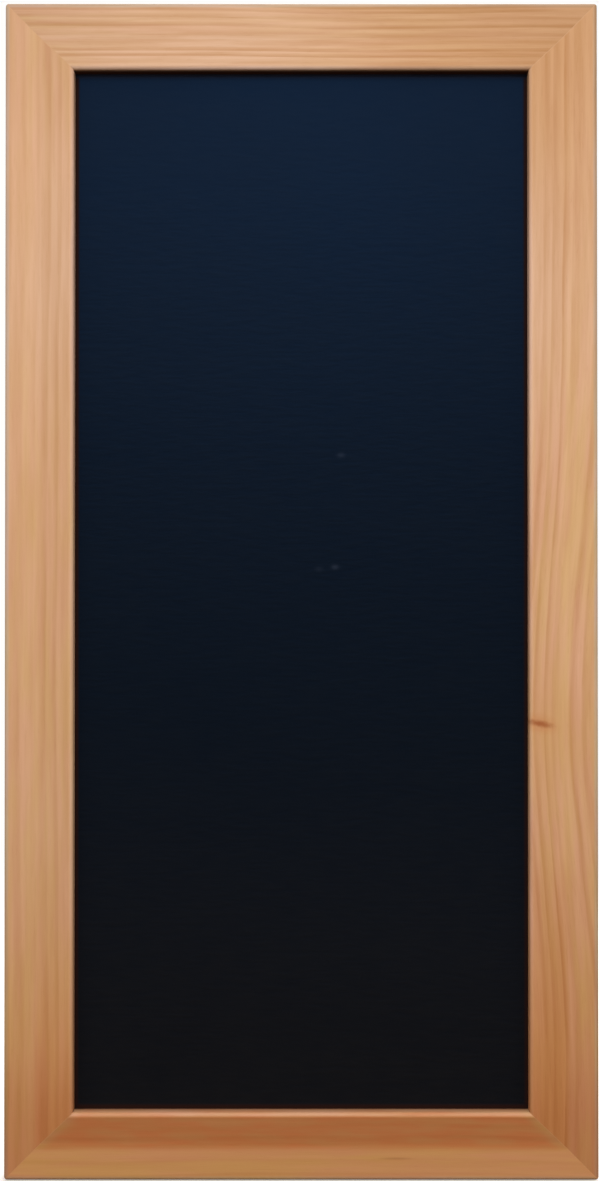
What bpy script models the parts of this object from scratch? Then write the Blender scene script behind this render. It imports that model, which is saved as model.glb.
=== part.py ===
"""Wall chalkboard: a dark writing panel in a mitred pine frame that hangs on two D-rings.

Metres, +Z up, +X to the right of someone who faces the board, the front towards -Y.
The origin is on the wall, midway between the two nails that the rings hang on.
"""

import math

import bmesh
import bpy
from mathutils import Matrix, Vector

# Frame, outside
FRAME_WIDTH = 0.300
FRAME_HEIGHT = 0.595
HANG_DROP = 0.060  # from the frame's top edge down to the nails
CORNER_ROUND = 0.0025  # outer corners, sanded after gluing

# Moulding section: depths are measured from the frame's back, widths from its outer edge
RAIL_WIDTH = 0.0353
BAND_WIDTH = 0.0173  # flat outer band, as far as the point where the slope would meet it
BAND_DEPTH = 0.0140
CREST_RISE = 0.0059  # from the band to the sight edge's corner, as it would be before rounding
COVE_RADIUS = 0.0180  # soft hollow between band and slope
CREST_ROUND = 0.0019
EDGE_ROUND = 0.0018
BACK_ROUND = 0.0006
REBATE_WIDTH = 0.0078
REBATE_DEPTH = 0.0110

# Clearances
SEAT_GAP = 0.0003  # between pieces that rest on each other
PANEL_CLEARANCE = 0.0010  # round the panel, in the rebate
SLOT_OVERRUN = 0.0010  # how far a cut starts outside the wood

# Writing panel
PANEL_THICKNESS = 0.0030
PANEL_ARRIS = 0.0003

# Panel points: thin darts driven into the rebate's wall, over the panel's back
POINT_LENGTH = 0.0140
POINT_WIDTH = 0.0060
POINT_THICKNESS = 0.0006
POINT_BITE = 0.0060  # how much of the length is in the wood
POINT_TIP = 0.0025  # length of the sharpened end
POINTS_PER_STILE = 3
POINTS_PER_RAIL = 2

# Corner nails: V-shaped, pressed in from behind across each mitre
NAIL_LEG = 0.0050
NAIL_LIP = 0.0010  # turned end of a leg
NAIL_OPENING = math.radians(100)
NAIL_THICKNESS = 0.0006
NAIL_HEIGHT = 0.0070
NAILS_PER_MITRE = 2

# Hangers
STRAP_WIDTH = 0.0095
STRAP_THICKNESS = 0.0007
STRAP_FOLD_GAP = 0.0002  # between the strap's two layers
STRAP_BEND = 0.0012  # bend that brings the upper layer down on the lower one
RING_WIRE = 0.0018
RING_PLAY = 0.0010  # between the strap's edge and the inside of the ring, each side
RING_BEND = 0.0015
RING_SIDE = 0.00325  # straight side between the bend and the bow

# Hanger screws
SCREW_HEAD = 0.0066
SCREW_HEAD_HEIGHT = 0.0018
SCREW_RIM = 0.0006  # straight side of the head, under its crown
SCREW_SHANK = 0.0030
SCREW_LENGTH = 0.0120
SCREW_POINT = 0.0030  # length of the tapered end
SCREW_SLOT = 0.0008
SCREW_SLOT_DEPTH = 0.0009
SCREW_SLOT_SPAN = 0.0040

# Bumpers
BUMPER_DIAMETER = 0.0090
BUMPER_HEIGHT = 0.0042
BUMPER_ROUND = 0.0012
BUMPER_INSET = 0.0500  # from the frame's side edge to the bumper's centre

# Facets
ARC_STEP = math.radians(7.5)
ARC_LEAST = 8
ROUND_SIDES = 32
WIRE_RESOLUTION = 3
SMOOTH_BELOW = math.radians(32)
MERGE_BELOW = 0.000001

# Derived places, in the frame's own plane: x to the right, y up, z forward from the frame's back
BACK_TO_WALL = SEAT_GAP + BUMPER_HEIGHT
TOP = HANG_DROP
BOTTOM = HANG_DROP - FRAME_HEIGHT
MIDDLE = (TOP + BOTTOM) / 2
CREST_DEPTH = BAND_DEPTH + CREST_RISE
BACK_FLAT = RAIL_WIDTH - REBATE_WIDTH
OPENING_WIDTH = FRAME_WIDTH - 2 * RAIL_WIDTH
OPENING_HEIGHT = FRAME_HEIGHT - 2 * RAIL_WIDTH
PANEL_FRONT = REBATE_DEPTH - SEAT_GAP
PANEL_BACK = PANEL_FRONT - PANEL_THICKNESS
POINT_FRONT = PANEL_BACK - SEAT_GAP

# Derived places of the hangers: heights are measured from the frame's back towards the wall
LOWER_LAYER = SEAT_GAP + STRAP_THICKNESS / 2
UPPER_LAYER = LOWER_LAYER + STRAP_THICKNESS + STRAP_FOLD_GAP
STRAP_TOP = UPPER_LAYER + STRAP_THICKNESS / 2
EYE_RADIUS = RING_WIRE / 2 + SEAT_GAP + STRAP_THICKNESS / 2
HINGE_HEIGHT = LOWER_LAYER + EYE_RADIUS
RING_HALF = STRAP_WIDTH / 2 + RING_PLAY + RING_WIRE / 2
BOW_TOP = RING_BEND + RING_SIDE + RING_HALF
RING_LEAN = math.asin((HINGE_HEIGHT - SEAT_GAP - RING_WIRE / 2) / BOW_TOP)
HINGE_X = FRAME_WIDTH / 2 - BACK_FLAT / 2
HINGE_Y = RING_WIRE / 2 - BOW_TOP
SCREW_DROP = BOW_TOP + RING_WIRE / 2 + SEAT_GAP + SCREW_HEAD / 2


# Outlines in a plane

def arc(centre, radius, start, end):
    """Points along an arc, both ends included, no further apart than ARC_STEP."""
    steps = max(ARC_LEAST, math.ceil(abs(end - start) / ARC_STEP - 1e-6))
    angles = [start + (end - start) * step / steps for step in range(steps + 1)]
    return [centre + radius * Vector((math.cos(angle), math.sin(angle))) for angle in angles]


def rounded(corners):
    """The outline through (x, y, radius) corners, each rounded by an arc that touches both its sides."""
    outline = []
    for index, (x, y, radius) in enumerate(corners):
        corner = Vector((x, y))
        if not radius:
            outline.append(corner)
            continue
        to_last = (Vector(corners[index - 1][:2]) - corner).normalized()
        to_next = (Vector(corners[(index + 1) % len(corners)][:2]) - corner).normalized()
        half_angle = to_last.angle(to_next) / 2
        centre = corner + (to_last + to_next).normalized() * radius / math.sin(half_angle)
        touch = radius / math.tan(half_angle)
        first = corner + to_last * touch - centre
        last = corner + to_next * touch - centre
        start = math.atan2(first.y, first.x)
        turn = math.remainder(math.atan2(last.y, last.x) - start, math.tau)
        outline += arc(centre, radius, start, start + turn)
    return outline


def ribbon(path, thickness):
    """The outline of a sheet of this thickness that follows the path."""
    left = []
    right = []
    for index, point in enumerate(path):
        before = (point - path[max(index - 1, 0)]).normalized()
        after = (path[min(index + 1, len(path) - 1)] - point).normalized()
        along = (before + after).normalized()
        across = Vector((-along.y, along.x))
        square = across.dot(Vector((-before.y, before.x)) if before.length else across)
        reach = across * thickness / 2 / square
        left.append(point + reach)
        right.append(point - reach)
    return left + right[::-1]


def rectangle(x_low, x_high, y_low, y_high):
    return [Vector(point) for point in ((x_low, y_low), (x_high, y_low), (x_high, y_high), (x_low, y_high))]


# Solids

def add_prism(mesh, outline, low, high, place=Matrix()):
    """Adds the outline, extruded along z from low to high, to the bmesh."""
    rings = []
    for z in (low, high):
        rings.append([mesh.verts.new(place @ Vector((point.x, point.y, z))) for point in outline])
    mesh.faces.new(rings[0])
    mesh.faces.new(rings[1])
    for index in range(len(outline)):
        last = rings[0][index - 1], rings[1][index - 1]
        mesh.faces.new((last[0], rings[0][index], rings[1][index], last[1]))


def make_object(name, mesh, parent, material=None):
    """Turns the bmesh into an object under the parent. Without a material it is a hidden cutter."""
    bmesh.ops.recalc_face_normals(mesh, faces=mesh.faces)
    data = bpy.data.meshes.new(name)
    mesh.to_mesh(data)
    mesh.free()
    made = bpy.data.objects.new(name, data)
    bpy.context.scene.collection.objects.link(made)
    made.parent = parent
    if material:
        data.materials.append(material)
    else:
        made.hide_render = True
        made.display_type = "WIRE"
    return made


def prism(name, outline, low, high, parent, material=None):
    mesh = bmesh.new()
    add_prism(mesh, outline, low, high)
    return make_object(name, mesh, parent, material)


def turned(name, half_section, parent, material):
    """A solid turned about z from (radius, z) points that start and end on the axis."""
    mesh = bmesh.new()
    verts = [mesh.verts.new((radius, 0, z)) for radius, z in half_section]
    edges = [mesh.edges.new(pair) for pair in zip(verts, verts[1:])]
    bmesh.ops.spin(mesh, geom=verts + edges, axis=(0, 0, 1), steps=ROUND_SIDES, angle=math.tau)
    bmesh.ops.remove_doubles(mesh, verts=mesh.verts, dist=MERGE_BELOW)
    return make_object(name, mesh, parent, material)


def boolean(solid, cutter, operation):
    modifier = solid.modifiers.new(cutter.name, "BOOLEAN")
    modifier.operation = operation
    modifier.solver = "EXACT"
    modifier.object = cutter


def settle_cuts():
    """Makes the cuts final, so that their new edges are shaded sharp too, and clears the cutters away."""
    graph = bpy.context.evaluated_depsgraph_get()
    settled = {}
    cutters = []
    for made in bpy.data.objects:
        if made.type == "MESH" and made.hide_render:
            cutters.append(made)
        elif made.type == "MESH":
            settled[made] = bpy.data.meshes.new_from_object(made.evaluated_get(graph))
    for cutter in cutters:
        bpy.data.objects.remove(cutter)
    for solid, data in settled.items():
        solid.modifiers.clear()
        solid.data = data
        data.name = solid.name
        data.shade_smooth()
        data.set_sharp_from_angle(angle=SMOOTH_BELOW)
        solid.modifiers.new("even shading", "WEIGHTED_NORMAL").keep_sharp = True


def empty(name, parent, place):
    made = bpy.data.objects.new(name, None)
    bpy.context.scene.collection.objects.link(made)
    made.parent = parent
    made.matrix_local = place
    return made


def finish(name, colour, roughness, metallic=0.0):
    material = bpy.data.materials.new(name)
    material.use_nodes = True
    shader = material.node_tree.nodes["Principled BSDF"]
    shader.inputs["Base Color"].default_value = (*colour, 1)
    shader.inputs["Roughness"].default_value = roughness
    shader.inputs["Metallic"].default_value = metallic
    material.diffuse_color = (*colour, 1)
    return material


# Frame

def moulding():
    """The section of a rail: x inwards from the outer edge, y forward from the back."""
    return rounded([
        (0, 0, BACK_ROUND),
        (BACK_FLAT, 0, 0),
        (BACK_FLAT, REBATE_DEPTH, 0),
        (RAIL_WIDTH, REBATE_DEPTH, 0),
        (RAIL_WIDTH, CREST_DEPTH, CREST_ROUND),
        (BAND_WIDTH, BAND_DEPTH, COVE_RADIUS),
        (0, BAND_DEPTH, EDGE_ROUND),
    ])


def mitred_rail(name, length, parent, material):
    """A length of moulding along x with its outer edge at y 0, each end cut at 45 degrees."""
    mesh = bmesh.new()
    setback = SEAT_GAP / math.sqrt(2)
    ends = []
    for side in (-1, 1):
        ends.append([
            mesh.verts.new((side * (length / 2 - inwards - setback), inwards, depth))
            for inwards, depth in moulding()
        ])
    mesh.faces.new(ends[0])
    mesh.faces.new(ends[1])
    for index in range(len(ends[0])):
        mesh.faces.new((ends[0][index - 1], ends[0][index], ends[1][index], ends[1][index - 1]))
    return make_object(name, mesh, parent, material)


def sanded_outline(parent):
    """The frame's outer shape with its round corners, a little proud of the rails' flat edges."""
    proud = SEAT_GAP / 4
    half_width = FRAME_WIDTH / 2 + proud
    radius = CORNER_ROUND + proud
    outline = rounded([
        (-half_width, BOTTOM - proud, radius),
        (half_width, BOTTOM - proud, radius),
        (half_width, TOP + proud, radius),
        (-half_width, TOP + proud, radius),
    ])
    return prism("cut_sanded_outline", outline, -SLOT_OVERRUN, CREST_DEPTH + SLOT_OVERRUN, parent)


def nail_path(distance):
    """A corner nail seen from behind: the mitre runs along x and the V opens towards the panel."""
    legs = []
    for side in (-1, 1):
        angle = side * NAIL_OPENING / 2
        leg = Vector((math.cos(angle), math.sin(angle))) * NAIL_LEG
        lip = Vector((NAIL_LIP, 0))
        legs.append([Vector((distance, 0)) + leg, Vector((distance, 0)) + leg + lip])
    return legs[0][::-1] + [Vector((distance, 0))] + legs[1]


def corner_nails(corner, angle, rails, parent, material):
    """The V-nails of one mitre and, in both its rails, the slots that they sit in."""
    place = Matrix.Translation((*corner[1], 0)) @ Matrix.Rotation(angle, 4, "Z")
    slots = bmesh.new()
    for number in range(1, NAILS_PER_MITRE + 1):
        path = nail_path(BACK_FLAT * math.sqrt(2) * number / (NAILS_PER_MITRE + 1) - NAIL_LEG / 2)
        outline = ribbon(path, NAIL_THICKNESS)
        nail = prism(f"corner_nail_{corner[0]}_{number}", outline, 0, NAIL_HEIGHT, parent, material)
        nail.matrix_local = place
        wide = [path[0] + (path[0] - path[1]).normalized() * SEAT_GAP, *path[1:-1]]
        wide.append(path[-1] + (path[-1] - path[-2]).normalized() * SEAT_GAP)
        slot = ribbon(wide, NAIL_THICKNESS + 2 * SEAT_GAP)
        add_prism(slots, slot, -SLOT_OVERRUN, NAIL_HEIGHT + SEAT_GAP, place)
    cutter = make_object(f"cut_nails_{corner[0]}", slots, parent)
    for rail in rails:
        boolean(rail, cutter, "DIFFERENCE")


def panel_points(side, rail, count, spread, material):
    """The points along one rail, and their slots. The rail carries them, so they share its placing."""
    tip = BACK_FLAT - POINT_BITE
    half = POINT_WIDTH / 2
    low = POINT_FRONT - POINT_THICKNESS
    slots = bmesh.new()
    for number in range(1, count + 1):
        along = spread * (number / (count + 1) - 0.5)
        dart = [
            Vector((along, tip)),
            Vector((along + half, tip + POINT_TIP)),
            Vector((along + half, tip + POINT_LENGTH)),
            Vector((along - half, tip + POINT_LENGTH)),
            Vector((along - half, tip + POINT_TIP)),
        ]
        prism(f"panel_point_{side}_{number}", dart, low, POINT_FRONT, rail, material)
        reach = half + SEAT_GAP
        slot = rectangle(along - reach, along + reach, tip - SEAT_GAP, BACK_FLAT + SLOT_OVERRUN)
        add_prism(slots, slot, low - SEAT_GAP, POINT_FRONT + SEAT_GAP)
    boolean(rail, make_object(f"cut_points_{side}", slots, rail), "DIFFERENCE")


def writing_panel(parent, material):
    half_width = OPENING_WIDTH / 2 + REBATE_WIDTH - PANEL_CLEARANCE
    half_height = OPENING_HEIGHT / 2 + REBATE_WIDTH - PANEL_CLEARANCE
    outline = rectangle(-half_width, half_width, MIDDLE - half_height, MIDDLE + half_height)
    panel = prism("writing_panel", outline, PANEL_BACK, PANEL_FRONT, parent, material)
    arris = panel.modifiers.new("arris", "BEVEL")
    arris.width = PANEL_ARRIS
    arris.segments = 1


# Hangers. Here x runs down from the hinge, y from the frame's back towards the wall, z to the right

def strap_path(tail):
    """The folded strap from the side: along the wood, round the ring's wire and back on itself."""
    eye = Vector((0, HINGE_HEIGHT))
    reach = EYE_RADIUS + STRAP_BEND
    meet = math.asin((UPPER_LAYER + STRAP_BEND - HINGE_HEIGHT) / reach)
    bend = Vector((reach * math.cos(meet), UPPER_LAYER + STRAP_BEND))
    loop = arc(eye, EYE_RADIUS, -math.pi / 2, meet - math.tau)
    landing = arc(bend, STRAP_BEND, meet - math.pi, -math.pi / 2)
    return [Vector((tail, LOWER_LAYER)), *loop, *landing[1:], Vector((tail, UPPER_LAYER))]


def hanger_strap(side, hinge, material):
    half = STRAP_WIDTH / 2
    name = f"hanger_strap_{side}"
    folded = ribbon(strap_path(SCREW_DROP + half + SLOT_OVERRUN), STRAP_THICKNESS)
    strap = prism(name, folded, -half - SLOT_OVERRUN, half + SLOT_OVERRUN, hinge, material)
    # Seen from the wall, the blank has parallel sides and a round tail about the screw's hole
    centre = Vector((SCREW_DROP, 0))
    head = -EYE_RADIUS - STRAP_THICKNESS - SLOT_OVERRUN
    blank = [Vector((head, half)), Vector((head, -half)), *arc(centre, half, -math.pi / 2, math.pi / 2)]
    eye_top = HINGE_HEIGHT + EYE_RADIUS + STRAP_THICKNESS
    trim = prism(f"cut_{name}", blank, -SLOT_OVERRUN, eye_top + SLOT_OVERRUN, hinge)
    around = arc(centre, SCREW_SHANK / 2 + SEAT_GAP, 0, math.tau)[:-1]
    hole = prism(f"cut_{name}_hole", around, -SLOT_OVERRUN, STRAP_TOP + SLOT_OVERRUN, hinge)
    for cutter in (trim, hole):
        cutter.rotation_euler = (-math.pi / 2, 0, 0)
    boolean(strap, trim, "INTERSECT")
    boolean(strap, hole, "DIFFERENCE")


def hanger_ring(side, hinge, material):
    """A wire D with its bar on the hinge, leaning until its bow rests on the frame's back."""
    quarter = math.pi / 2
    half_bar = RING_HALF - RING_BEND
    loop = arc(Vector((RING_BEND, half_bar)), RING_BEND, 2 * quarter, quarter)
    loop += arc(Vector((RING_BEND + RING_SIDE, 0)), RING_HALF, quarter, -quarter)
    loop += arc(Vector((RING_BEND, -half_bar)), RING_BEND, -quarter, -2 * quarter)
    curve = bpy.data.curves.new(f"hanger_ring_{side}", "CURVE")
    curve.dimensions = "3D"
    curve.bevel_depth = RING_WIRE / 2
    curve.bevel_resolution = WIRE_RESOLUTION
    spline = curve.splines.new("POLY")
    spline.points.add(len(loop) - 1)
    for point, place in zip(spline.points, loop):
        point.co = (-place.x, 0, place.y, 1)
    spline.use_cyclic_u = True
    curve.materials.append(material)
    ring = bpy.data.objects.new(curve.name, curve)
    bpy.context.scene.collection.objects.link(ring)
    ring.parent = hinge
    ring.rotation_euler = (0, 0, RING_LEAN)


def hanger_screw(side, hinge, stile, material):
    """A pan-head screw with a cross recess, its pilot hole in the stile and its head on the strap."""
    seat = STRAP_TOP + SEAT_GAP
    radius = SCREW_SHANK / 2
    head = SCREW_HEAD / 2
    tip = seat - SCREW_LENGTH
    # The crown is an arc from the middle of the head down to its straight rim
    rise = SCREW_HEAD_HEIGHT - SCREW_RIM
    dome = (head**2 + rise**2) / (2 * rise)
    centre = Vector((0, seat + SCREW_HEAD_HEIGHT - dome))
    crown = arc(centre, dome, math.pi / 2, math.pi / 2 - math.asin(head / dome))
    section = [*crown, (head, seat), (radius, seat), (radius, tip + SCREW_POINT), (0, tip)]
    name = f"hanger_screw_{side}"
    screw = turned(name, section, hinge, material)
    screw.location = (SCREW_DROP, 0, 0)
    screw.rotation_euler = (-math.pi / 2, 0, 0)
    cross = bmesh.new()
    half = SCREW_SLOT / 2
    span = SCREW_SLOT_SPAN / 2
    plus = []
    for quarter in range(4):
        turn = Matrix.Rotation(quarter * math.pi / 2, 2)
        plus += [turn @ Vector(point) for point in ((span, -half), (span, half), (half, half))]
    bottom = seat + SCREW_HEAD_HEIGHT - SCREW_SLOT_DEPTH
    add_prism(cross, plus, bottom, seat + SCREW_HEAD_HEIGHT + SLOT_OVERRUN)
    recess = make_object(f"cut_{name}", cross, screw)
    boolean(screw, recess, "DIFFERENCE")
    around = arc(Vector((0, 0)), radius + SEAT_GAP, 0, math.tau)[:-1]
    pilot = prism(f"cut_{name}_pilot", around, tip - SEAT_GAP, SLOT_OVERRUN, screw)
    boolean(stile, pilot, "DIFFERENCE")


def bumper(side, place, parent, material):
    """A rubber pad on the frame's back: its foot is on the wood and its rounded end meets the wall."""
    radius = BUMPER_DIAMETER / 2
    end = SEAT_GAP + BUMPER_HEIGHT
    shoulder = arc(Vector((radius - BUMPER_ROUND, end - BUMPER_ROUND)), BUMPER_ROUND, math.pi / 2, 0)
    section = [(0, end), *shoulder, (radius, SEAT_GAP), (0, SEAT_GAP)]
    pad = turned(f"bumper_{side}", section, parent, material)
    pad.location = (*place, 0)
    pad.rotation_euler = (math.pi, 0, 0)


def main():
    for leftover in list(bpy.data.objects):
        bpy.data.objects.remove(leftover)
    pine = finish("clear_pine", (0.62, 0.36, 0.19), 0.45)
    lacquer = finish("chalk_lacquer", (0.012, 0.013, 0.015), 0.50)
    plated = finish("plated_steel", (0.62, 0.62, 0.60), 0.30, 1.0)
    nail_steel = finish("nail_steel", (0.42, 0.42, 0.43), 0.45, 1.0)
    rubber = finish("bumper_rubber", (0.05, 0.05, 0.05), 0.80)

    quarter = math.pi / 2
    back = empty(
        "frame_back", None, Matrix.Translation((0, -BACK_TO_WALL, 0)) @ Matrix.Rotation(quarter, 4, "X")
    )
    right = FRAME_WIDTH / 2
    rails = {}
    sanded = sanded_outline(back)
    for name, length, place, turn in (
        ("bottom_rail", FRAME_WIDTH, (0, BOTTOM, 0), 0),
        ("right_stile", FRAME_HEIGHT, (right, MIDDLE, 0), quarter),
        ("top_rail", FRAME_WIDTH, (0, TOP, 0), 2 * quarter),
        ("left_stile", FRAME_HEIGHT, (-right, MIDDLE, 0), -quarter),
    ):
        rails[name] = mitred_rail(name, length, back, pine)
        rails[name].location = place
        rails[name].rotation_euler = (0, 0, turn)
        boolean(rails[name], sanded, "INTERSECT")

    for corner, turn, names in (
        (("bottom_left", (-right, BOTTOM)), 0.5 * quarter, ("bottom_rail", "left_stile")),
        (("bottom_right", (right, BOTTOM)), 1.5 * quarter, ("bottom_rail", "right_stile")),
        (("top_right", (right, TOP)), 2.5 * quarter, ("top_rail", "right_stile")),
        (("top_left", (-right, TOP)), 3.5 * quarter, ("top_rail", "left_stile")),
    ):
        corner_nails(corner, turn, [rails[name] for name in names], back, nail_steel)

    writing_panel(back, lacquer)
    for side, name, count, spread in (
        ("bottom", "bottom_rail", POINTS_PER_RAIL, OPENING_WIDTH),
        ("right", "right_stile", POINTS_PER_STILE, OPENING_HEIGHT),
        ("top", "top_rail", POINTS_PER_RAIL, OPENING_WIDTH),
        ("left", "left_stile", POINTS_PER_STILE, OPENING_HEIGHT),
    ):
        panel_points(side, rails[name], count, spread, nail_steel)

    # A hinge's own axes: x down, y towards the wall, z to the right
    hinge_axes = Matrix(((0, 0, 1, 0), (-1, 0, 0, 0), (0, -1, 0, 0), (0, 0, 0, 1)))
    for side, x in (("left", -HINGE_X), ("right", HINGE_X)):
        foot = empty(f"hanger_foot_{side}", back, Matrix.Translation((x, HINGE_Y, 0)) @ hinge_axes)
        axis = empty(f"hanger_axis_{side}", foot, Matrix.Translation((0, HINGE_HEIGHT, 0)))
        hanger_strap(side, foot, plated)
        hanger_ring(side, axis, plated)
        hanger_screw(side, foot, rails[f"{side}_stile"], plated)
    for side, x in (("left", BUMPER_INSET - right), ("right", right - BUMPER_INSET)):
        bumper(side, (x, BOTTOM + BACK_FLAT / 2), back, rubber)
    settle_cuts()


main()
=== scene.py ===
import math
from dataclasses import dataclass

import bmesh
import bpy
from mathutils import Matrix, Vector


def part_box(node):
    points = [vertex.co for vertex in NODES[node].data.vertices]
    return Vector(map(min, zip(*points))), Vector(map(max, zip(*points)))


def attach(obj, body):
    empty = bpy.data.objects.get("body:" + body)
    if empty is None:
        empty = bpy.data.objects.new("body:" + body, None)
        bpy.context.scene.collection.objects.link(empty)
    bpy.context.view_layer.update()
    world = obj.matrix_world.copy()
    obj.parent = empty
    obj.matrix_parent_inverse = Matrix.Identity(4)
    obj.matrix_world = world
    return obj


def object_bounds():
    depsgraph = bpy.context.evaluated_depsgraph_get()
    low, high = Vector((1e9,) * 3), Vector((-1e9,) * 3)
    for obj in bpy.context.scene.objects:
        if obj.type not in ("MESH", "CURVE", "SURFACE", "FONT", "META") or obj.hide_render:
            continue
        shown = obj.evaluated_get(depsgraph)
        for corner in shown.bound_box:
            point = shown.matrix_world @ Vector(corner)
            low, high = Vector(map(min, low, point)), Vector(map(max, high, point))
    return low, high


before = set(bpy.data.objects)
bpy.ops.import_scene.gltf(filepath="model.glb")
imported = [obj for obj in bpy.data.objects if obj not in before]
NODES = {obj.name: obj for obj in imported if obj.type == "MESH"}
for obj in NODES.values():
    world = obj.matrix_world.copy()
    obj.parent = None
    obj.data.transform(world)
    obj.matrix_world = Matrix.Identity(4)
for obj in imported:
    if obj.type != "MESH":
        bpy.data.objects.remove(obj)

# Metres, in the frame's own axes: +X right, +Z up, the writing face towards -Y, the wall at y 0
CAD_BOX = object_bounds()
LOW, HIGH = CAD_BOX
CENTRE = (LOW + HIGH) / 2
STILE_LOW, STILE_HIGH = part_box("left_stile")
RAIL_BACK = STILE_HIGH.y
RAIL_WIDTH = STILE_HIGH.x - STILE_LOW.x
PANEL_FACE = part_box("writing_panel")[0].y
OPENING_HALF_WIDTH = HIGH.x - RAIL_WIDTH
OPENING_HALF_HEIGHT = (HIGH.z - LOW.z) / 2 - RAIL_WIDTH

# The moulding's section: how far its outer band stands in front of its back, and its roundings
BAND_DEPTH = 0.014
EDGE_ROUND = 0.0018
CREST_ROUND = 0.0019
BAND_Y = RAIL_BACK - BAND_DEPTH
SLOPE_Y = BAND_Y - 0.0037  # at the knot
OUTLINE_Y = BAND_Y + EDGE_ROUND  # where the board looks widest from in front

# The photograph, 600 by 1181 pixels: the board's height and centre in it, and the camera
PHOTO_HEIGHT = 1181
PHOTO_CENTRE = (300.0, 590.5)
BOARD_PIXELS = 1175.3
BOARD_CENTRE = (301.3, 590.05)
METRES_PER_PIXEL = (HIGH.z - LOW.z) / BOARD_PIXELS
CAMERA_DISTANCE = 0.94
CAMERA_ELEVATION = math.radians(-0.55)
CAMERA_SENSOR = 36.0  # millimetres
CAMERA_NEAREST = 0.01


def from_pixel(pixel, y):
    """The (x, z) that the photograph shows at this pixel, on a surface this far back."""
    spread = METRES_PER_PIXEL * (1 + (y - OUTLINE_Y) / CAMERA_DISTANCE)
    x = CENTRE.x + (pixel[0] - BOARD_CENTRE[0]) * spread
    z = CENTRE.z - (pixel[1] - BOARD_CENTRE[1]) * spread
    return x, z


# Marks, placed by the photograph's pixels
KNOT = from_pixel((539.5, 723.6), SLOPE_Y)
FLECK = from_pixel((396, 1157), BAND_Y)
UPPER_SPECK = from_pixel((341, 455), PANEL_FACE)
WIDE_SPECK = from_pixel((335, 567), PANEL_FACE)
FAINT_SPECK = from_pixel((319, 569), PANEL_FACE)


# New objects

def add(name, data):
    made = bpy.data.objects.new(name, data)
    bpy.context.scene.collection.objects.link(made)
    return made


def add_mesh(name, mesh):
    data = bpy.data.meshes.new(name)
    mesh.to_mesh(data)
    mesh.free()
    return add(name, data)


def look_at(thing, target):
    towards = Vector(target) - thing.location
    thing.rotation_euler = towards.to_track_quat("-Z", "Y").to_euler()


# Shader expressions

class Wire:
    """One output of a shader node. Arithmetic on wires adds Math nodes."""

    def __init__(self, web, socket):
        self.web = web
        self.socket = socket

    def maths(self, operation, *values):
        return self.web.node("ShaderNodeMath", {"operation": operation}, dict(enumerate(values)))

    def __add__(self, other):
        return self.maths("ADD", self, other)

    def __radd__(self, other):
        return self.maths("ADD", other, self)

    def __sub__(self, other):
        return self.maths("SUBTRACT", self, other)

    def __rsub__(self, other):
        return self.maths("SUBTRACT", other, self)

    def __mul__(self, other):
        return self.maths("MULTIPLY", self, other)

    def __rmul__(self, other):
        return self.maths("MULTIPLY", other, self)

    def __truediv__(self, other):
        return self.maths("DIVIDE", self, other)

    def __rtruediv__(self, other):
        return self.maths("DIVIDE", other, self)

    def function(self, operation):
        return self.maths(operation, self)

    def most(self, other):
        return self.maths("MAXIMUM", self, other)

    def hypot(self, other):
        """The distance that two offsets at right angles make."""
        return (self * self + other * other).function("SQRT")

    def rise(self, low, high):
        """0 below low, 1 above high and a smooth step between. With low above high it falls."""
        settings = {"interpolation_type": "SMOOTHSTEP"}
        return self.web.node("ShaderNodeMapRange", settings, {0: self, 1: low, 2: high})

    def at_least(self, least):
        """A value of 0 to 1 pressed into the range from least to 1."""
        return least + self * (1.0 - least)

    def hill(self):
        """1 at 0, and falling to nothing well outside 1 on both sides."""
        return (self * self * -1.0).function("EXPONENT")


class Web:
    """A node tree that takes all its nodes from one method."""

    def __init__(self, tree):
        self.tree = tree

    def node(self, kind, settings=None, sockets=None, output=0):
        """Adds a node: its settings, then its sockets' values or wires. Returns one output."""
        made = self.tree.nodes.new(kind)
        for name, value in (settings or {}).items():
            setattr(made, name, value)
        for key, value in (sockets or {}).items():
            if isinstance(value, Wire):
                self.tree.links.new(value.socket, made.inputs[key])
            else:
                made.inputs[key].default_value = value
        return Wire(self, made.outputs[output]) if made.outputs else None


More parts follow.
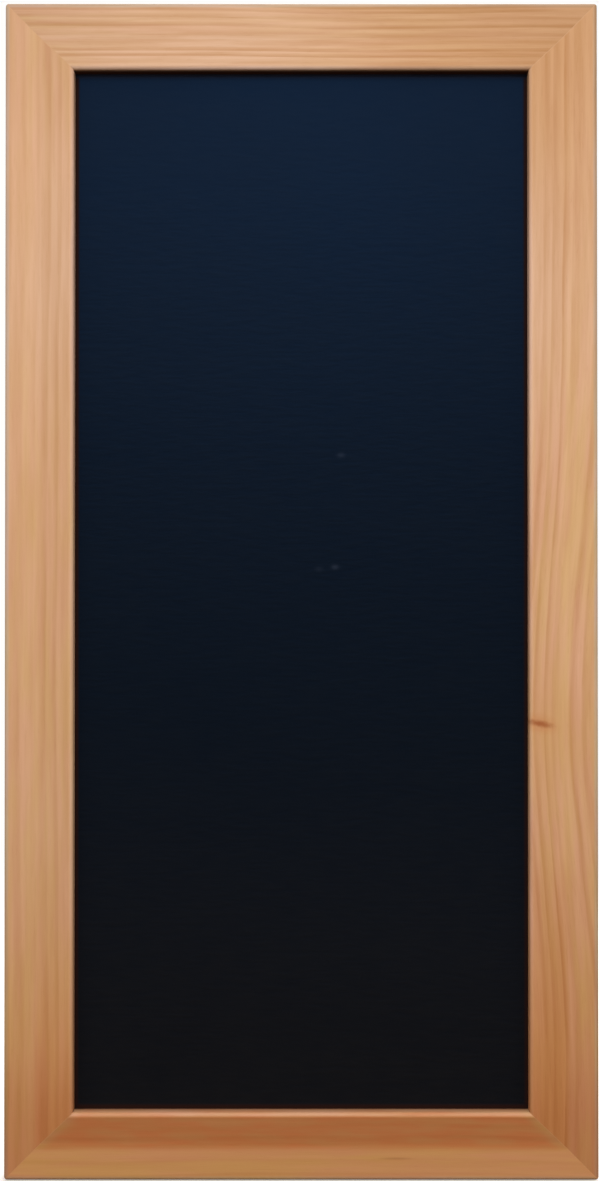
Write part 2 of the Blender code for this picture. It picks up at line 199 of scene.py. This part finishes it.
class Finish(Web):
    """A material in the making."""

    def __init__(self, name, **constants):
        self.material = bpy.data.materials.new(name)
        self.material.use_nodes = True
        super().__init__(self.material.node_tree)
        self.shader = self.tree.nodes["Principled BSDF"]
        for socket, value in constants.items():
            self.shader.inputs[socket.replace("_", " ")].default_value = value
        self.place = self.node("ShaderNodeTexCoord", output="Object")
        self.x, self.y, self.z = (
            self.node("ShaderNodeSeparateXYZ", {}, {0: self.place}, axis) for axis in "XYZ"
        )

    def point(self, x, y, z):
        return self.node("ShaderNodeCombineXYZ", {}, {0: x, 1: y, 2: z})

    def noise(self, point, scale=1.0, detail=2.0, roughness=0.5, seed=0.0):
        """Noise of about 0.5 on average. The seed moves it along its fourth axis."""
        return self.node("ShaderNodeTexNoise", {"noise_dimensions": "4D"}, {
            "Vector": point, "W": seed, "Scale": scale, "Detail": detail, "Roughness": roughness,
        })

    def mix(self, factor, first, second, blend="MIX"):
        """One colour from two. Colours are (red, green, blue) or wires."""
        first, second = (
            colour if isinstance(colour, Wire) else (*colour, 1) for colour in (first, second)
        )
        settings = {"data_type": "RGBA", "blend_type": blend}
        return self.node("ShaderNodeMix", settings, {0: factor, 6: first, 7: second}, 2)

    def tint(self, colour, value):
        """The colour made lighter or darker by a value about 1."""
        grey = self.node("ShaderNodeCombineColor", {}, {0: value, 1: value, 2: value})
        return self.mix(1.0, colour, grey, "MULTIPLY")

    def from_corner(self, x, z):
        """Distance from a corner of the board, across its face."""
        return (self.x - x).hypot(self.z - z)

    def relief(self, height, depth, strength):
        """The surface normal over a height field of 0 to 1 that is this deep, in metres."""
        sockets = {"Strength": strength, "Distance": depth, "Height": height}
        return self.node("ShaderNodeBump", {}, sockets)

    def set(self, **sockets):
        for name, wire in sockets.items():
            self.tree.links.new(wire.socket, self.shader.inputs[name.replace("_", " ")])

    def put_on(self, *nodes):
        for name in nodes:
            slots = NODES[name].data.materials
            slots.clear()
            slots.append(self.material)


# Pine

PALE_WOOD = (0.745, 0.475, 0.280)
GOLD = (0.725, 0.480, 0.225)
PINK = (0.755, 0.445, 0.298)
SAPWOOD = (0.775, 0.525, 0.365)
AMBER = (0.625, 0.369, 0.192)
# Painted shade: deeper colours for the board's foot, where less light falls
SHADED_GOLD = (0.650, 0.355, 0.125)
SHADED_PINK = (0.665, 0.322, 0.145)
# Painted shade for the slopes, deepest on the bottom rail's, which faces down
SHADED_SLOPE_RED = (0.690, 0.255, 0.095)
SHADED_SLOPE_ORANGE = (0.665, 0.300, 0.115)
# Painted shade on the sight wall, in the recess next to the panel
SIGHT_WALL_SHADE = (0.075, 0.026, 0.008)
KNOT_WOOD = (0.64, 0.345, 0.140)
KNOT_HALO = (0.62, 0.27, 0.10)
KNOT_HEART = (0.38, 0.110, 0.030)
FLECK_WOOD = (0.36, 0.15, 0.05)

# What each of these multiplies the red, green and blue of the wood under it by
GRAIN = (0.73, 0.58, 0.38)
# Painted shade at the stiles' feet
STILE_FOOT_SHADE = (0.90, 0.81, 0.78)
# Painted highlights: the arris and the crest paler and greyer, as where light catches them
ARRIS_HIGHLIGHT = (0.87, 1.08, 1.45)
CREST_HIGHLIGHT = (1.02, 1.10, 1.35)

GRAIN_ON_AVERAGE = 0.33
RING_WANDER = 0.004
UNEVEN_YEARS = 1.6

# Where a mask begins and where it is full. On a rail: inwards from its outer edge, and in
# front of its back
SLOPE_INWARDS = (0.0135, 0.0185)
ARRIS_INWARDS = (0.0027, 0.0014)
CREST_INWARDS = (RAIL_WIDTH - 0.0021, RAIL_WIDTH - 0.0009)
FOOT_CREST_INWARDS = (RAIL_WIDTH - CREST_ROUND * 1.4, RAIL_WIDTH - CREST_ROUND * 0.4)
SIGHT_WALL_INWARDS = (RAIL_WIDTH - 0.0012, RAIL_WIDTH - 0.0002)
FRONT_DEPTH = (0.0080, 0.0110)
ARRIS_DEPTH = (0.0100, 0.0122)
# From the mitres, from the upper corners, and above the board's foot
MITRE_CLEARANCE = (0.0005, 0.0075)
AMBER_REACH = (0.190, 0.015)
SHADE_REACH = (0.100, 0.010)
STILE_FOOT_SHADE_HEIGHT = (0.075, 0.025)
# As parts of a year's ring, and in the values of noise
LATEWOOD_SWELLS = (0.20, 0.75)
LATEWOOD_ENDS = (1.0, 0.82)
NOISE_SPREAD = (0.32, 0.68)
DASH_PEAKS = (0.90, 1.0)

# Palest wood: where it lies along rails of each direction, how far it reaches along them, and
# how far below and above the board's middle it fades in
SAPWOOD_AT = {"x": -0.045, "z": HIGH.z - 0.130}
SAPWOOD_REACH = 0.085
SAPWOOD_FADE = 0.10

# The knot draws the grain in. The pull is centred a little above it, and fades out above
# and below
KNOT_PULL = 0.0120
PULL_RAISED = 0.005
PULL_ABOVE = 0.115
PULL_BELOW = 0.105
KNOT_TILT = 0.20
FLECK_HALF_LENGTH = 0.0100
FLECK_HALF_HEIGHT = 0.00075


@dataclass
class Rail:
    """How one length of pine was sawn, and how its colour runs."""

    node: str
    along: str  # axis that the grain runs along
    across: str  # axis across the face
    edge: float  # the outer edge, on that axis
    inward: int  # sign of the way from there to the panel
    seed: float
    ring: float  # width of a year's growth
    pith: float  # the tree's pith, from the outer edge towards the panel
    behind: float  # the pith's distance behind the rail's back
    hue: float  # how much golden and pinkish streaks show
    contrast: float  # how much the grain shows
    tone: float  # 0 is plain, more is lighter, less is darker
    slope_tone: float  # the same again, for the slope and the crest
    foot_shade_tone: float  # and for the painted shade at the board's foot
    foot_shade_heights: tuple  # heights above the board's foot: the painted shade begins, and is deepest
    wall_shade: tuple  # distances in front of the back: the sight wall's painted shade begins, and is full


TOP_RAIL = Rail(
    "top_rail", along="x", across="z", edge=HIGH.z, inward=-1,
    seed=3.1, ring=0.0041, pith=-0.052, behind=0.022, hue=0.55, contrast=1.12,
    # On the top rail, a slope_tone below 0 darkens the up-facing slope: painted shade
    tone=-0.08, slope_tone=-0.06, foot_shade_tone=0.0,
    foot_shade_heights=(0.195, 0.010), wall_shade=(0.0190, 0.0145),
)
BOTTOM_RAIL = Rail(
    "bottom_rail", along="x", across="z", edge=LOW.z, inward=1,
    seed=7.7, ring=0.0055, pith=-0.060, behind=0.030, hue=0.60, contrast=0.40,
    tone=0.0, slope_tone=0.01, foot_shade_tone=0.0,
    foot_shade_heights=(0.200, 0.010), wall_shade=(0.0160, 0.0090),
)
LEFT_STILE = Rail(
    "left_stile", along="z", across="x", edge=LOW.x, inward=1,
    seed=12.4, ring=0.0058, pith=-0.055, behind=0.026, hue=0.55, contrast=0.65,
    tone=-0.01, slope_tone=0.0, foot_shade_tone=-0.03,
    foot_shade_heights=(0.185, 0.005), wall_shade=(0.0128, 0.0108),
)
RIGHT_STILE = Rail(
    "right_stile", along="z", across="x", edge=HIGH.x, inward=-1,
    seed=19.6, ring=0.0060, pith=-0.048, behind=0.030, hue=0.75, contrast=0.90,
    tone=0.0, slope_tone=0.03, foot_shade_tone=-0.10,
    foot_shade_heights=(0.235, 0.030), wall_shade=(0.0128, 0.0108),
)


def pine(rail):
    """Clear-coated pine: growth rings cut along the grain, fibres, and marks of its own."""
    wood = Finish(
        f"pine_{rail.node}", Coat_Weight=0.10, Coat_Roughness=0.45, Specular_IOR_Level=0.20
    )
    axes = {"x": wood.x, "z": wood.z}
    along = axes[rail.along]
    inwards = (axes[rail.across] - rail.edge) * rail.inward
    depth = RAIL_BACK - wood.y

    # Grain runs along the rail, but the right stile's is drawn in round its knot
    grainwise = inwards
    if rail is RIGHT_STILE:
        above = along - (KNOT[1] + PULL_RAISED)
        faded = (above / PULL_ABOVE).most(above / -PULL_BELOW)
        grainwise = inwards - faded.hill() * KNOT_PULL

    def streaks(length, width, detail, turn):
        """Noise drawn out along the grain, 0 to 1: the streaks' usual length and width."""
        spot = wood.point(along / length, grainwise / width, depth / width)
        return wood.noise(spot, detail=detail, seed=rail.seed + turn).rise(*NOISE_SPREAD)

    # Rings: distance from the pith in years of uneven width, wandering slowly along the rail
    wander = (streaks(length=0.25, width=0.17, detail=2.0, turn=0) - 0.5) * RING_WANDER
    beside = grainwise + wander - rail.pith
    years = beside.hypot(depth + rail.behind) / rail.ring
    uneven = wood.noise(wood.point(years, rail.seed, 0.0), scale=0.9, detail=1.0, seed=rail.seed)
    years = years + uneven * UNEVEN_YEARS

    # Latewood: the dark end of each ring, stronger in some years and in some stretches
    season = years.function("FRACT")
    year = wood.point(years.function("FLOOR"), rail.seed, 0.0)
    weather = wood.node("ShaderNodeTexWhiteNoise", {"noise_dimensions": "2D"}, {0: year})
    stretches = streaks(length=0.09, width=0.012, detail=2.0, turn=1)
    late = season.rise(*LATEWOOD_SWELLS) * season.rise(*LATEWOOD_ENDS)
    late = late * weather.at_least(0.30) * stretches.at_least(0.45)

    # Streaks of hue, soft bands, fibres, and the short dark dashes of cut resin canals
    warmth = streaks(length=0.055, width=rail.ring, detail=2.0, turn=2)
    bands = streaks(length=0.05, width=rail.ring * 0.6, detail=2.0, turn=3)
    fibres = streaks(length=0.045, width=0.0010, detail=3.0, turn=4)
    hairs = streaks(length=0.016, width=0.00038, detail=2.0, turn=5)
    dashes = streaks(length=0.0075, width=0.00050, detail=1.0, turn=6).rise(*DASH_PEAKS)

    # Painted shade: the colour deepens towards the board's foot, most of it on the front
    front = depth.rise(*FRONT_DEPTH)
    slope = inwards.rise(*SLOPE_INWARDS) * front
    begins, deepest = rail.foot_shade_heights
    foot = wood.z.rise(LOW.z + begins, LOW.z + deepest) * (0.55 + front * 0.30 + slope * 0.15)
    deep = wood.mix(warmth, SHADED_GOLD, SHADED_PINK)
    if rail is BOTTOM_RAIL:
        # The painted shade is deepest on the down-facing slope, but not on its crest, and it
        # fades out before the mitres
        crest = inwards.rise(*FOOT_CREST_INWARDS)
        paler = 0.20 + streaks(length=0.030, width=0.0040, detail=2.0, turn=9) * 0.40
        foot = foot * (1.0 - crest * paler)
        patches = streaks(length=0.020, width=0.0040, detail=2.0, turn=8)
        from_mitre = HIGH.x - inwards - (wood.x - CENTRE.x).function("ABSOLUTE")
        deeper = slope * from_mitre.rise(*MITRE_CLEARANCE) * 0.93
        deep = wood.mix(deeper, deep, wood.mix(patches, SHADED_SLOPE_RED, SHADED_SLOPE_ORANGE))
    else:
        deep = wood.mix(slope * 0.6, deep, SHADED_SLOPE_ORANGE)

    # Colour: pale wood with streaks, sapwood, amber in the upper right corner, and the foot's
    # painted shade
    colour = wood.mix(rail.hue, PALE_WOOD, wood.mix(warmth, GOLD, PINK))
    sapwood = ((along - SAPWOOD_AT[rail.along]) / SAPWOOD_REACH).hill() * (0.60 + slope * 0.35)
    sapwood = sapwood * wood.z.rise(CENTRE.z - SAPWOOD_FADE, CENTRE.z + SAPWOOD_FADE)
    amber = wood.from_corner(HIGH.x, HIGH.z).rise(*AMBER_REACH)
    colour = wood.mix(sapwood, colour, SAPWOOD)
    colour = wood.mix(amber * 0.9, colour, AMBER)
    colour = wood.mix(foot, colour, deep)

    # The grain takes more blue than red from it, and the upper left corner is a little darker
    grain = late * 0.60 + bands * 0.28 + fibres * 0.10 + hairs * 0.04 + dashes * 0.10
    grain = grain * rail.contrast + GRAIN_ON_AVERAGE * (1.0 - rail.contrast)
    colour = wood.mix(grain, colour, GRAIN, "MULTIPLY")
    shade = wood.from_corner(LOW.x, HIGH.z).rise(*SHADE_REACH)
    tone = 1.0 + rail.tone + slope * rail.slope_tone + foot * rail.foot_shade_tone - shade * 0.08
    colour = wood.tint(colour, tone)

    if rail in (LEFT_STILE, RIGHT_STILE):
        # Painted shade: the stiles' feet are deeper still
        begins, deepest = STILE_FOOT_SHADE_HEIGHT
        stile_foot_shade = wood.z.rise(LOW.z + begins, LOW.z + deepest) * front.at_least(0.4)
        colour = wood.mix(stile_foot_shade, colour, STILE_FOOT_SHADE, "MULTIPLY")
    if rail is RIGHT_STILE:
        colour = knot(wood, colour)
    if rail is BOTTOM_RAIL:
        colour = fleck(wood, colour, front)

    # Painted highlights make the arris and the crest pale, broken up by streaks, and painted
    # shade darkens the sight wall next to the panel
    highlight_streaks = streaks(length=0.022, width=0.005, detail=3.0, turn=7).at_least(0.7)
    arris = inwards.rise(*ARRIS_INWARDS) * depth.rise(*ARRIS_DEPTH)
    crest = inwards.rise(*CREST_INWARDS)
    wall = inwards.rise(*SIGHT_WALL_INWARDS) * depth.rise(*rail.wall_shade)
    colour = wood.mix(arris * highlight_streaks, colour, ARRIS_HIGHLIGHT, "MULTIPLY")
    colour = wood.mix(crest * highlight_streaks, colour, CREST_HIGHLIGHT, "MULTIPLY")
    colour = wood.mix(wall, colour, SIGHT_WALL_SHADE)

    height = 0.5 + fibres * 0.20 + hairs * 0.10 + late * 0.20 - dashes * 0.4
    wood.set(
        Base_Color=colour,
        Roughness=0.59 + fibres * 0.06 - late * 0.05,
        Normal=wood.relief(height, depth=0.00006, strength=0.6),
    )
    wood.put_on(rail.node)


def knot(wood, colour):
    """A pin knot cut lengthways: a slim dark slit, tilting down to the right, in deeper wood."""
    right = wood.x - KNOT[0]
    up = (wood.z - KNOT[1]) + right * KNOT_TILT
    ragged = wood.noise(wood.place, scale=700.0, seed=31.0) - 0.5

    def spot(half_length, half_height, fray):
        """0 in the middle of an ellipse and 1 on its rim."""
        return (right / half_length).hypot(up / half_height) + ragged * fray

    around = spot(half_length=0.0200, half_height=0.0450, fray=0.0).rise(1.2, 0.1)
    halo = spot(half_length=0.0105, half_height=0.0056, fray=0.4).rise(1.2, 0.2)
    heart = spot(half_length=0.0084, half_height=0.0021, fray=0.5).rise(1.15, 0.15)
    colour = wood.mix(around * 0.35, colour, KNOT_WOOD)
    colour = wood.mix(halo * 0.5, colour, KNOT_HALO)
    return wood.mix(heart * 0.85, colour, KNOT_HEART)


def fleck(wood, colour, front):
    """A thin dark resin streak in the outer band."""
    right = (wood.x - FLECK[0]) / FLECK_HALF_LENGTH
    up = (wood.z - FLECK[1]) / FLECK_HALF_HEIGHT
    return wood.mix(right.hypot(up).rise(1.2, 0.1) * front * 0.45, colour, FLECK_WOOD)


# Writing panel

LACQUER = (0.0037, 0.0040, 0.0028)
FOOT_LACQUER = (0.0070, 0.0058, 0.0030)
# Painted reflection of the frame's wood in the lacquer's rim
RIM_REFLECTION = (0.0210, 0.0068, 0.0004)
# Painted blue sheen along the top of the panel
TOP_SHEEN = (0.0220, 0.0260, 0.0450)
CHALK = (0.36, 0.46, 0.72)
HARDBOARD = (0.215, 0.118, 0.056)
BLUE_SHEEN = (0.08, 0.34, 1.0, 1)
SPECK_REACH = (0.0018, 0.0012)  # to the sides, and up and down
PRESS_MESH = 0.0013

# Where a mask begins and where it is full. The lacquer ends this far behind the panel's face
LACQUERED = (PANEL_FACE + 0.0005, PANEL_FACE + 0.0003)
FOOT_LACQUER_HEIGHT = (CENTRE.z - 0.03, LOW.z + 0.05)
# From the panel's middle: to the sides, down and up
RIM_REFLECTION_BESIDE = (OPENING_HALF_WIDTH - 0.0024, OPENING_HALF_WIDTH - 0.0008)
RIM_REFLECTION_BELOW = (0.0030 - OPENING_HALF_HEIGHT, 0.0010 - OPENING_HALF_HEIGHT)
TOP_SHEEN_HEIGHT = (OPENING_HALF_HEIGHT - 0.0030, OPENING_HALF_HEIGHT - 0.0006)


def chalk_panel():
    """Hardboard: dark lacquer wiped clean on the face, bare brown fibre on edges and back."""
    board = Finish(
        "chalk_lacquer_on_hardboard", Specular_IOR_Level=0.20, Specular_Tint=BLUE_SHEEN
    )
    face = board.y.rise(*LACQUERED)

    def marks(across, up, **fineness):
        """Noise that changes this many times in a metre across the board, and up it."""
        return board.noise(board.point(board.x * across, 0.0, board.z * up), **fineness)

    def speck(place):
        aside, above = board.x - place[0], board.z - place[1]
        return (aside / SPECK_REACH[0]).hill() * (above / SPECK_REACH[1]).hill()

    # The face: fine brush marks, faint sideways wiping marks, a few specks of chalk, and
    # lighter, warmer lacquer towards the foot
    brushed = marks(across=90.0, up=450.0, seed=46.0)
    wiping = marks(across=7.0, up=120.0, detail=3.0, roughness=0.6, seed=41.0)
    haze = marks(across=12.0, up=16.0, detail=3.0, roughness=0.55, seed=42.0)
    tooth = board.noise(board.place, scale=2600.0, roughness=0.6, seed=43.0)
    specks = speck(UPPER_SPECK) + speck(WIDE_SPECK) * 1.3 + speck(FAINT_SPECK) * 0.5
    lacquer = board.mix(board.z.rise(*FOOT_LACQUER_HEIGHT), LACQUER, FOOT_LACQUER)
    lacquer = board.tint(lacquer, 0.42 + wiping * 0.26 + haze * 0.30 + brushed * 0.60)
    lacquer = board.mix(specks * 0.028, lacquer, CHALK)

    # Its rim: beside the frame and along the foot, a painted reddish reflection of the wooden
    # walls, and along the top a painted blue sheen
    up = board.z - CENTRE.z
    rim = board.x.function("ABSOLUTE").rise(*RIM_REFLECTION_BESIDE).most(up.rise(*RIM_REFLECTION_BELOW))
    lacquer = board.mix(rim, lacquer, RIM_REFLECTION)
    lacquer = board.mix(up.rise(*TOP_SHEEN_HEIGHT), lacquer, TOP_SHEEN)

    # The back and the edges: pressed fibre, with the mesh of the press
    fibre = board.noise(board.place, scale=900.0, detail=4.0, roughness=0.65, seed=44.0)
    patches = board.noise(board.place, scale=25.0, detail=3.0, seed=45.0)
    wires = math.tau / PRESS_MESH
    mesh = (board.x * wires).function("SINE") * (board.z * wires).function("SINE")
    brown = board.tint(HARDBOARD, 0.70 + fibre * 0.35 + patches * 0.25 + mesh * 0.05)

    bare = 1.0 - face
    lacquer_roughness = 0.45 + haze * 0.05 + tooth * 0.03 + rim * 0.4
    height = face * (tooth * 0.12 + brushed * 1.6) + bare * (mesh * 0.3 + fibre * 0.5)
    board.set(
        Base_Color=board.mix(face, brown, lacquer),
        Roughness=face * lacquer_roughness + bare * 0.72,
        Normal=board.relief(height, depth=0.00012, strength=0.5),
    )
    board.put_on("writing_panel")


# Hardware

NICKEL_PLATE = (0.66, 0.65, 0.62)
GREY_STEEL = (0.42, 0.42, 0.43)
RUBBER = (0.030, 0.030, 0.031)
RUBBER_DUST = (0.16, 0.15, 0.14)


def steel(name, colour, roughness, scratched, nodes):
    """Metal with fine random scratches and slight cloudiness."""
    metal = Finish(name, Metallic=1.0)
    cloud = metal.noise(metal.place, scale=350.0, detail=3.0, roughness=0.6, seed=51.0)
    drawn_out = metal.point(metal.x * 900.0, metal.y * 900.0, metal.z * 9000.0)
    scratches = metal.noise(drawn_out, roughness=0.6, seed=52.0)
    metal.set(
        Base_Color=metal.tint(colour, 0.86 + cloud * 0.22),
        Roughness=roughness + cloud * 0.12 + scratches * scratched,
        Normal=metal.relief(scratches * 0.5 + cloud * 0.5, depth=0.00002, strength=0.5),
    )
    metal.put_on(*nodes)


def plated_steel():
    steel("plated_steel", NICKEL_PLATE, roughness=0.20, scratched=0.16, nodes=[
        f"hanger_{piece}_{side}"
        for piece in ("strap", "ring", "screw") for side in ("left", "right")
    ])


def nail_steel():
    steel("nail_steel", GREY_STEEL, roughness=0.34, scratched=0.20, nodes=[
        name for name in NODES if name.startswith(("corner_nail", "panel_point"))
    ])


def rubber():
    """Matt rubber with a fine grit and a little dust."""
    pad = Finish("bumper_rubber", Specular_IOR_Level=0.35)
    grit = pad.noise(pad.place, scale=2200.0, detail=3.0, roughness=0.6, seed=61.0)
    dust = pad.noise(pad.place, scale=260.0, detail=3.0, roughness=0.6, seed=62.0)
    pad.set(
        Base_Color=pad.mix(dust.rise(0.50, 0.75) * 0.25, RUBBER, RUBBER_DUST),
        Roughness=0.72 + grit * 0.15,
        Normal=pad.relief(grit, depth=0.00004, strength=0.6),
    )
    pad.put_on("bumper_left", "bumper_right")


# Glue in the mitres

GLUE_LINE = (0.60, 0.36, 0.195)
# Painted shade: the glue's colour at the board's foot
SHADED_GLUE_LINE = (0.60, 0.30, 0.125)
GLUE_FILLS = 0.98  # of the gap's width
GLUE_START = 0.0012  # from the sharp corner, along the mitre: the board's corners are rounded
GLUE_SUNK_INSIDE = 0.00015  # how far the glue stops short of the frame's inner sides
GLUE_SUNK_FACE = 0.00003  # below the moulding's face
GLUE_SUNK_BACK = 0.000075  # below its back
GLUE_SPLIT = 0.0000375  # between the glue's front slab and the strips behind it
NAIL_ROOM = 0.0005  # left free on each side of a nail
ON_MITRE = 0.0004  # a rail's vertices this near to the mitre's plane are on its cut
NAIL_REACH = 0.0010  # and a nail's this near are where it crosses
SORTED_FROM = 0.002  # behind the rebate: a point that sees the section's outline in order


def mitre_glue():
    """Fills each mitre's gap with glue, from just below the moulding's face to its back."""
    glue = Finish("mitre_glue", Specular_IOR_Level=0.4)
    streaks = glue.noise(glue.place, scale=800.0, detail=3.0, roughness=0.6, seed=71.0)
    # Darker towards the foot: painted shade, as on the wood
    amber = glue.mix(glue.z.rise(CENTRE.z, LOW.z), GLUE_LINE, SHADED_GLUE_LINE)
    glue.set(
        Base_Color=glue.tint(amber, 0.85 + streaks * 0.30),
        Roughness=0.45 + streaks * 0.20,
    )
    for upper, z in (("top", HIGH.z), ("bottom", LOW.z)):
        for side, x in (("left", LOW.x), ("right", HIGH.x)):
            sheet = glue_sheet(f"{upper}_{side}", f"{upper}_rail", Vector((x, 0, z)))
            sheet.data.materials.append(glue.material)


def glue_sheet(end, rail, corner):
    """Glue with the outline of the rail's mitred end, as thick as the gap between the rails."""
    towards = CENTRE - corner
    down = Vector((math.copysign(1, towards.x), 0, math.copysign(1, towards.z))).normalized()
    across = Vector((down.z, 0, -down.x))
    rebate = PANEL_FACE

    def placed(node, reach):
        """A node's vertices this near to the mitre, as distances (along it, beside it) and y."""
        places = [vertex.co - corner for vertex in NODES[node].data.vertices]
        return [(p.dot(down), p.dot(across), p.y) for p in places if abs(p.dot(across)) < reach]

    def new_vertex(along, beside, y):
        return mesh.verts.new(corner + down * along + across * beside + Vector((0, y, 0)))

    def slab(outline):
        """A closed slab across the gap. Its outline is distances along the mitre, and y."""
        left, right = (
            [new_vertex(along, beside, y) for along, y in outline] for beside in (-half, half)
        )
        mesh.faces.new(left)
        mesh.faces.new(right)
        for index in range(len(outline)):
            mesh.faces.new((left[index - 1], left[index], right[index], right[index - 1]))

    cut = placed(rail, ON_MITRE)
    moulded = [(along, beside, y) for along, beside, y in cut if y < rebate and along > 0]
    half = min(abs(beside) for _, beside, _ in moulded) * GLUE_FILLS
    mesh = bmesh.new()

    # In front of the rebate: the moulding's own section, a little smaller
    section = sorted({(round(along, 6), round(y, 6)) for along, _, y in moulded})
    inner = max(along for along, _ in section)
    middle = inner / 2
    section += [(GLUE_START, rebate), (inner, rebate)]
    section.sort(key=lambda spot: math.atan2(spot[1] - rebate - SORTED_FROM, spot[0] - middle))
    shrink = 1 - 2 * GLUE_SUNK_INSIDE / inner
    slab([(middle + (along - middle) * shrink, y + GLUE_SUNK_FACE) for along, y in section])

    # Behind it: strips that leave the nails free
    stops = [GLUE_START]
    for number in (1, 2):
        nail = [along for along, _, _ in placed(f"corner_nail_{end}_{number}", NAIL_REACH)]
        stops += [min(nail) - NAIL_ROOM, max(nail) + NAIL_ROOM]
    rebate_wall = max(along for along, _, y in cut if y > rebate)
    stops.append(rebate_wall - GLUE_SUNK_INSIDE)
    near, far = rebate + GLUE_SPLIT, RAIL_BACK - GLUE_SUNK_BACK
    for start, stop in zip(stops[::2], stops[1::2]):
        slab([(start, near), (stop, near), (stop, far), (start, far)])

    bmesh.ops.recalc_face_normals(mesh, faces=mesh.faces)
    sheet = add_mesh(f"mitre_glue_{end}", mesh)
    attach(sheet, "board")
    return sheet


# Studio

BACKDROP = (1.0, 0.995, 0.975, 1)
SHOWN_TO = ("Camera", "Transmission", "Glossy")
ROOM_LIGHT = (1.0, 0.88, 0.80, 1)
ROOM_SIDE = 0.45
ROOM_FRONT = 0.65
ROOM_MIRRORED = 0.06
LIT_FRONT = (0.25, -0.9)  # the Y of a direction, which is 1 straight towards the wall
BRIGHT_BEHIND = (-0.3, 0.5)  # the same
FLOOR_SIZE = 6.0
FLOOR_BELOW = 0.0006
FLOOR_FADES = (0.35, 1.3)  # metres from the board's middle
FLOOR = (0.75, 0.74, 0.72, 1)
FLOOR_GLOW = (1.0, 0.99, 0.97, 1)
FLOOR_GLOW_POWER = 0.45
DIM_FLOOR = (0.16, 0.13, 0.10, 1)


def add_light(name, place, target, size, power, colour):
    lamp = bpy.data.lights.new(name, "AREA")
    lamp.shape = "RECTANGLE"
    lamp.size, lamp.size_y = size
    lamp.energy = power
    lamp.color = colour
    made = add(name, lamp)
    made.location = place
    made.visible_camera = False
    look_at(made, target)


def lights():
    """A soft key in front of the board and above it, and a light for its back."""
    add_light(
        "key", place=(0.0, -0.94, 0.31), target=(0, BAND_Y, -0.05),
        size=(0.55, 0.28), power=4.7, colour=(1.0, 0.98, 0.96),
    )
    add_light(
        "back_light", place=(0.5, 1.4, 0.9), target=(0, 0, CENTRE.z),
        size=(1.2, 1.2), power=26.0, colour=(1.0, 0.99, 0.97),
    )


def room():
    """An even room, which lights the board mostly from the front, level with it."""
    world = bpy.data.worlds.new("studio")
    bpy.context.scene.world = world
    world.use_nodes = True
    world.node_tree.nodes.clear()
    air = Web(world.node_tree)
    direction = air.node("ShaderNodeTexCoord", output="Generated")
    backwards = air.node("ShaderNodeSeparateXYZ", {}, {0: direction}, "Y")
    strength = ROOM_SIDE + backwards.rise(*LIT_FRONT) * ROOM_FRONT
    ambient = air.node("ShaderNodeBackground", {}, {0: ROOM_LIGHT, 1: strength})

    # The camera sees white. Shiny things mirror that too on the wall's side of the board, and
    # a dim room on its front side
    ray = {kind: air.node("ShaderNodeLightPath", output=f"Is {kind} Ray") for kind in SHOWN_TO}
    mirrored = ray["Glossy"] * backwards.rise(*BRIGHT_BEHIND).at_least(ROOM_MIRRORED)
    shown = ray["Camera"].most(ray["Transmission"]).most(mirrored)
    backdrop = air.node("ShaderNodeBackground", {}, {0: BACKDROP, 1: 1.0})
    mixed = air.node("ShaderNodeMixShader", {}, {0: shown, 1: ambient, 2: backdrop})
    air.node("ShaderNodeOutputWorld", {}, {0: mixed})


def floor():
    """A pale floor just under the board, with its shadow. It throws little light back up."""
    mesh = bmesh.new()
    bmesh.ops.create_grid(mesh, size=FLOOR_SIZE)
    made = add_mesh("floor", mesh)
    made.location = (0, 0, LOW.z - FLOOR_BELOW)
    finish = Finish("pale_floor")
    finish.tree.nodes.remove(finish.shader)

    # Near the board it is pale, and further off the backdrop's white
    plain = finish.node("ShaderNodeBsdfDiffuse", {}, {0: FLOOR})
    glow = finish.node("ShaderNodeEmission", {}, {0: FLOOR_GLOW, 1: FLOOR_GLOW_POWER})
    pale = finish.node("ShaderNodeAddShader", {}, {0: plain, 1: glow})
    white = finish.node("ShaderNodeEmission", {}, {0: BACKDROP, 1: 1.0})
    away = finish.x.hypot(finish.y).rise(*FLOOR_FADES)
    shown = finish.node("ShaderNodeMixShader", {}, {0: away, 1: pale, 2: white})

    # The board itself is lit only by a dim one
    dim = finish.node("ShaderNodeBsdfDiffuse", {}, {0: DIM_FLOOR})
    seen = finish.node("ShaderNodeLightPath", output="Is Camera Ray")
    mixed = finish.node("ShaderNodeMixShader", {}, {0: seen, 1: dim, 2: shown})
    output = finish.tree.nodes["Material Output"]
    finish.tree.links.new(mixed.socket, output.inputs[0])
    made.data.materials.append(finish.material)


def camera():
    """Square to the board, a touch below its middle, with it where the photograph has it."""
    data = bpy.data.cameras.new("camera")
    data.sensor_width = CAMERA_SENSOR
    data.lens = CAMERA_SENSOR * CAMERA_DISTANCE / (PHOTO_HEIGHT * METRES_PER_PIXEL)
    data.clip_start = CAMERA_NEAREST
    made = add("camera", data)
    aim = Vector((
        CENTRE.x - (BOARD_CENTRE[0] - PHOTO_CENTRE[0]) * METRES_PER_PIXEL,
        OUTLINE_Y,
        CENTRE.z + (BOARD_CENTRE[1] - PHOTO_CENTRE[1]) * METRES_PER_PIXEL,
    ))
    back = Vector((0, -math.cos(CAMERA_ELEVATION), math.sin(CAMERA_ELEVATION)))
    made.location = aim + back * CAMERA_DISTANCE
    look_at(made, aim)
    bpy.context.scene.camera = made


camera()
for rail in (TOP_RAIL, BOTTOM_RAIL, LEFT_STILE, RIGHT_STILE):
    pine(rail)
chalk_panel()
mitre_glue()
plated_steel()
nail_steel()
rubber()
floor()
lights()
room()
bpy.context.scene.view_settings.view_transform = "Standard"
